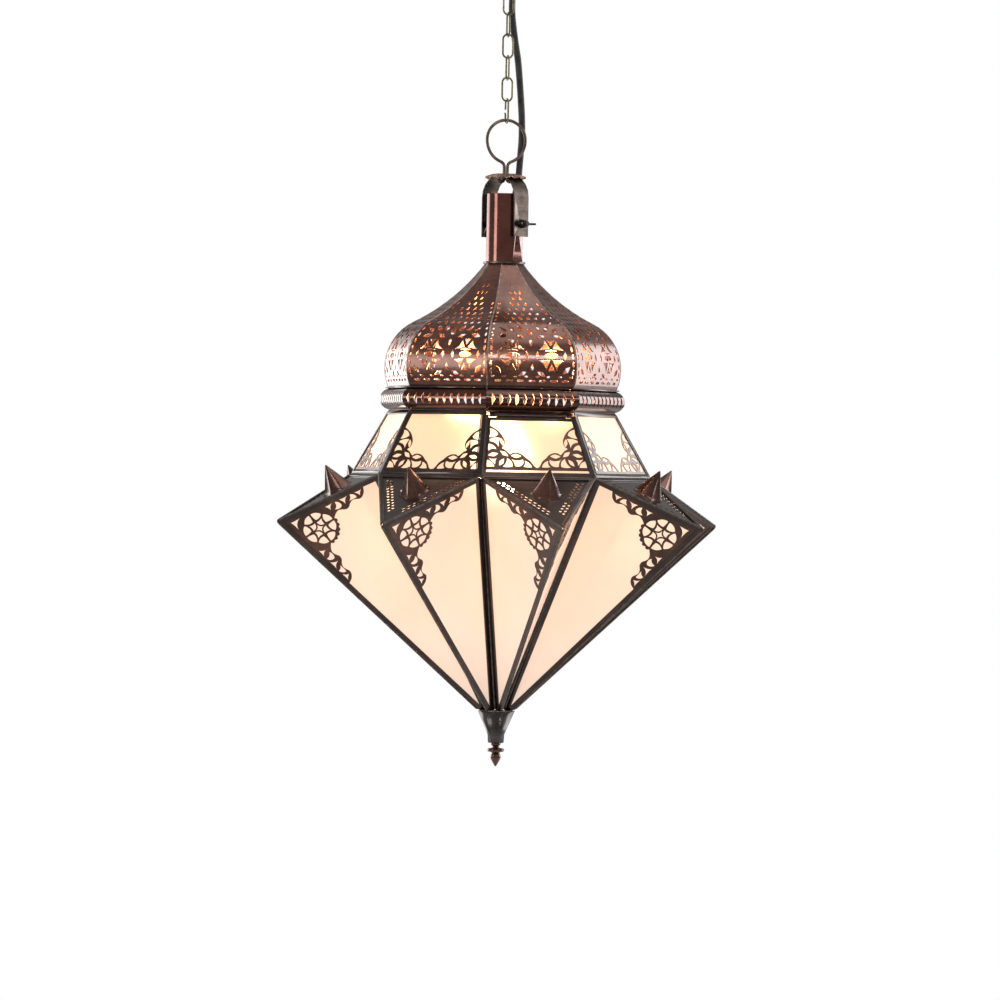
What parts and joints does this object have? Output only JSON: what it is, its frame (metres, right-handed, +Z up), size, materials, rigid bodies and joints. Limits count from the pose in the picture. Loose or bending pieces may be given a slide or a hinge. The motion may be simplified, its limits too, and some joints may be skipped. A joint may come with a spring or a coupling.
{
  "type": "pendant lamp",
  "caption": "Pierced metal star lantern with frosted glass panes, an onion dome, cone spikes and a drop finial, hung by a short chain and ring from a ceiling canopy.",
  "frame": {"origin": "on the ceiling, midway between the bracket's two screw holes, over the chain", "axes": "+Z up; the lantern's door faces -Y; the bracket's screws lie along X"},
  "size_m": [0.4368, 0.4368, 0.8014],
  "materials": {
    "patinated_copper": "brown patina, satin",
    "dark_copper": "near-black patina, satin",
    "antique_brass": "antique, worn",
    "zinc_steel": "dulled",
    "frosted_glass": "frosted",
    "black_flex": "matte",
    "black_plastic": "matte",
    "bulb_metal": "satin",
    "opal_glass": "opal"
  },
  "bodies": {
    "ceiling_fixing": {"ceiling_bracket": "zinc_steel", "ceiling_canopy": "patinated_copper", "canopy_nut": "patinated_copper", "flex_grommet": "black_plastic", "ceiling_hook": "patinated_copper", "flex_cable": "black_flex"},
    "first_link": {"chain_link_1": "antique_brass"},
    "second_link": {"chain_link_2": "antique_brass"},
    "third_link": {"chain_link_3": "antique_brass"},
    "fourth_link": {"chain_link_4": "antique_brass"},
    "fifth_link": {"chain_link_5": "antique_brass"},
    "sprung_link": {"open_link": "antique_brass"},
    "hanger": {"hanging_ring": "antique_brass"},
    "bail": {"rosette": "patinated_copper", "bail_strap": "patinated_copper", "bail_bolt": "zinc_steel"},
    "wing_nut_body": {"wing_nut": "zinc_steel"},
    "lantern": {"neck_tube": "patinated_copper", "neck_flange": "patinated_copper", "dome_panel_1": "patinated_copper", "dome_panel_2": "patinated_copper", "dome_panel_3": "patinated_copper", "dome_panel_4": "patinated_copper", "dome_panel_5": "patinated_copper", "dome_panel_6": "patinated_copper", "dome_panel_7": "patinated_copper", "dome_panel_8": "patinated_copper", "dome_base_ring": "patinated_copper", "bead_band": "patinated_copper", "drum_frames": "dark_copper", "drum_glass": "frosted_glass", "drum_filigree": "dark_copper", "door_lintel": "dark_copper", "door_hinge_pin": "dark_copper", "star_plate_frames": "dark_copper", "star_plates": "patinated_copper", "spikes": "patinated_copper", "lower_frames": "dark_copper", "lower_glass": "frosted_glass", "lower_filigree": "dark_copper", "bottom_collar": "patinated_copper", "finial": "patinated_copper", "holder_bridge": "zinc_steel", "threaded_nipple": "zinc_steel", "lock_nut": "zinc_steel", "cord_grip": "black_plastic", "lampholder_cap": "black_plastic", "lampholder_shell": "black_plastic", "flex_tail": "black_flex"},
    "door": {"door_frame": "dark_copper", "door_glass": "frosted_glass", "door_filigree": "dark_copper"},
    "bulb": {"bulb_cap": "bulb_metal", "bulb_glass": "opal_glass"}
  },
  "joints": [
    {"name": "hook_pivot", "type": "hinge", "parent": "ceiling_fixing", "child": "first_link", "pos_m": [0, 0, -0.0599], "axis": [0, 1, 0], "range_deg": [-8, 8], "deforming": ["flex_cable"]},
    {"name": "link_pivot_2", "type": "hinge", "parent": "first_link", "child": "second_link", "pos_m": [0, 0, -0.07995], "axis": [1, 0, 0], "range_deg": [-8, 8], "deforming": ["flex_cable"]},
    {"name": "link_pivot_3", "type": "hinge", "parent": "second_link", "child": "third_link", "pos_m": [0, 0, -0.10065], "axis": [0, 1, 0], "range_deg": [-8, 8], "deforming": ["flex_cable"]},
    {"name": "link_pivot_4", "type": "hinge", "parent": "third_link", "child": "fourth_link", "pos_m": [0, 0, -0.12135], "axis": [1, 0, 0], "range_deg": [-8, 8], "deforming": ["flex_cable"]},
    {"name": "link_pivot_5", "type": "hinge", "parent": "fourth_link", "child": "fifth_link", "pos_m": [0, 0, -0.14205], "axis": [0, 1, 0], "range_deg": [-8, 8], "deforming": ["flex_cable"]},
    {"name": "open_link_pivot", "type": "hinge", "parent": "fifth_link", "child": "sprung_link", "pos_m": [0, 0, -0.16275], "axis": [1, 0, 0], "range_deg": [-8, 8], "deforming": ["flex_cable"]},
    {"name": "ring_rock", "type": "hinge", "parent": "sprung_link", "child": "hanger", "pos_m": [0, 0, -0.18345], "axis": [0, 1, 0], "range_deg": [-8, 8], "deforming": ["flex_cable"]},
    {"name": "ring_swivel", "type": "hinge", "parent": "hanger", "child": "bail", "pos_m": [0, 0, -0.2325], "axis": [0, 0, 1], "range_deg": [-25, 25], "deforming": ["flex_cable"]},
    {"name": "bail_tilt", "type": "hinge", "parent": "bail", "child": "lantern", "pos_m": [0, 0, -0.28087], "axis": [0.5299, -0.848, 0], "range_deg": [-15, 15], "deforming": ["flex_tail"]},
    {"name": "wing_nut_turn", "type": "hinge", "parent": "bail", "child": "wing_nut_body", "pos_m": [0, 0, -0.28087], "axis": [0.5299, -0.848, 0], "continuous": true},
    {"name": "door_swing", "type": "hinge", "parent": "lantern", "child": "door", "pos_m": [0, -0.10442, -0.465], "axis": [-1, 0, 0], "range_deg": [0, 55]},
    {"name": "bulb_turn", "type": "hinge", "parent": "lantern", "child": "bulb", "pos_m": [0, 0, -0.45], "axis": [0, 0, 1], "range_deg": [0, 360]}
  ]
}
